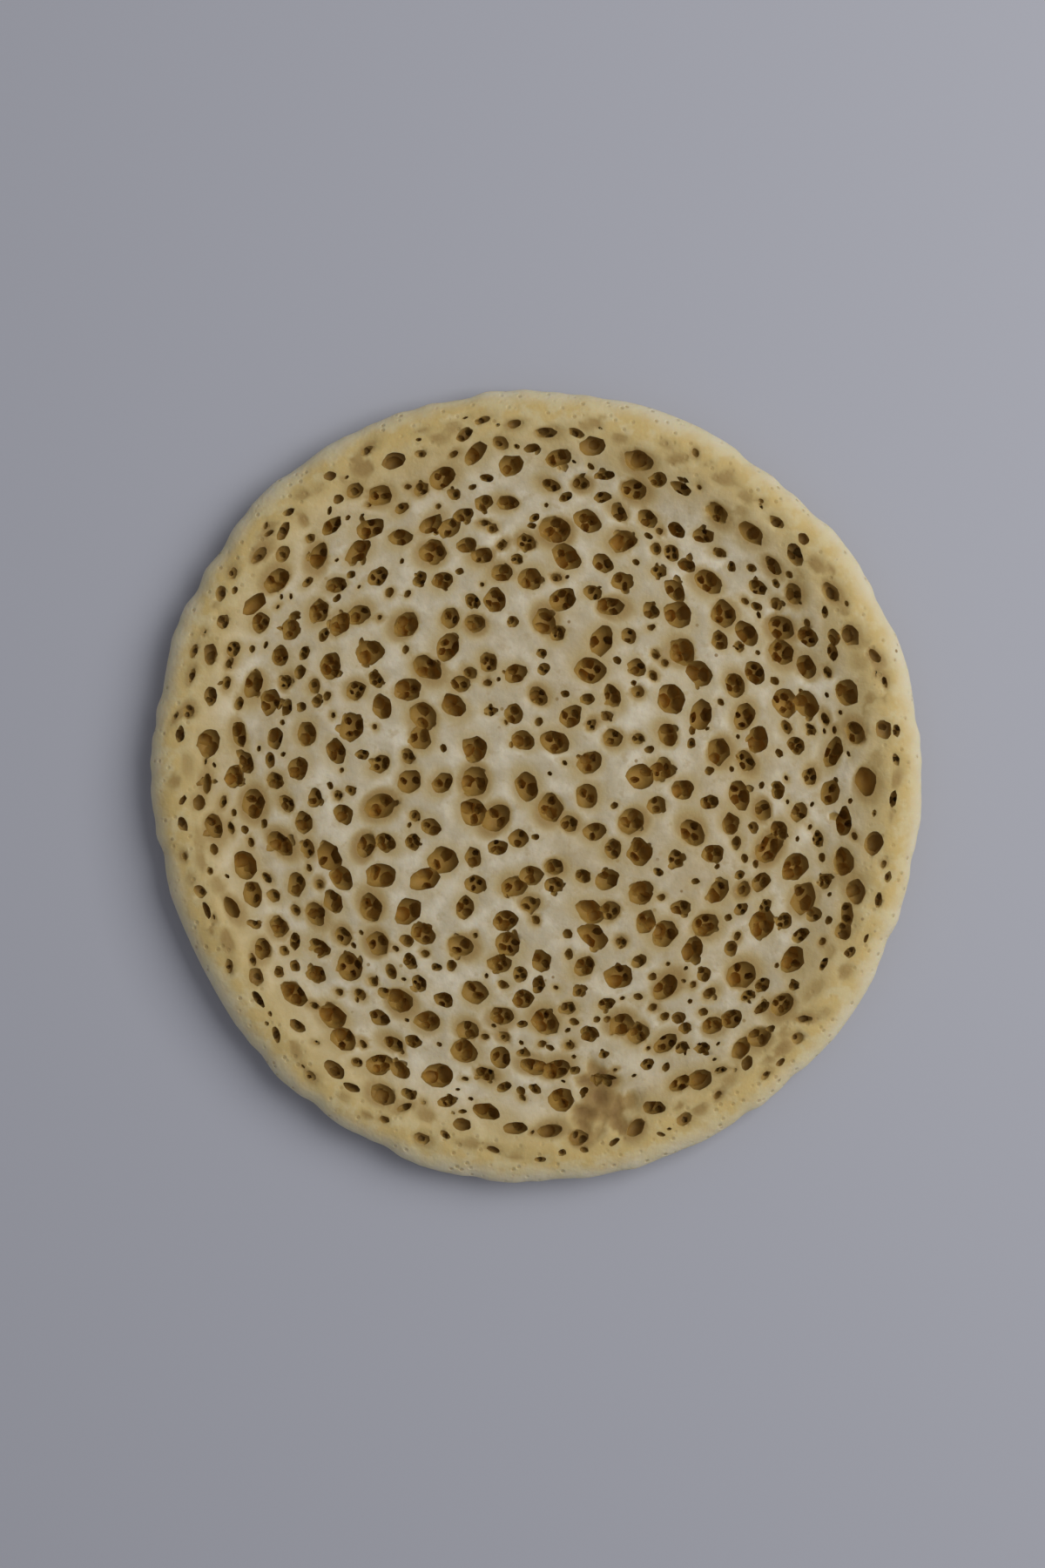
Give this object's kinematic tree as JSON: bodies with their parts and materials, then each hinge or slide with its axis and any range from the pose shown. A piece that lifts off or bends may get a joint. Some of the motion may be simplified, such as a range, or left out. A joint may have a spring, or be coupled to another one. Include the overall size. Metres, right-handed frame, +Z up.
{
  "type": "qatayef pancake",
  "caption": "Round yeast pancake lying flat, smooth below, with a rolled pale rim round a dished top full of open pores.",
  "frame": {"origin": "middle of the flat foot that the pancake lies on, under the middle of its outline", "axes": "+Z up through the pancake, pored side up; +X and +Y across it, +Y to its far side"},
  "size_m": [0.105, 0.1076, 0.0076],
  "materials": {
    "pancake_crumb": "soft matt crumb, cream on top and golden brown below"
  },
  "bodies": {
    "root": {"qatayef": "pancake_crumb"}
  },
  "joints": []
}
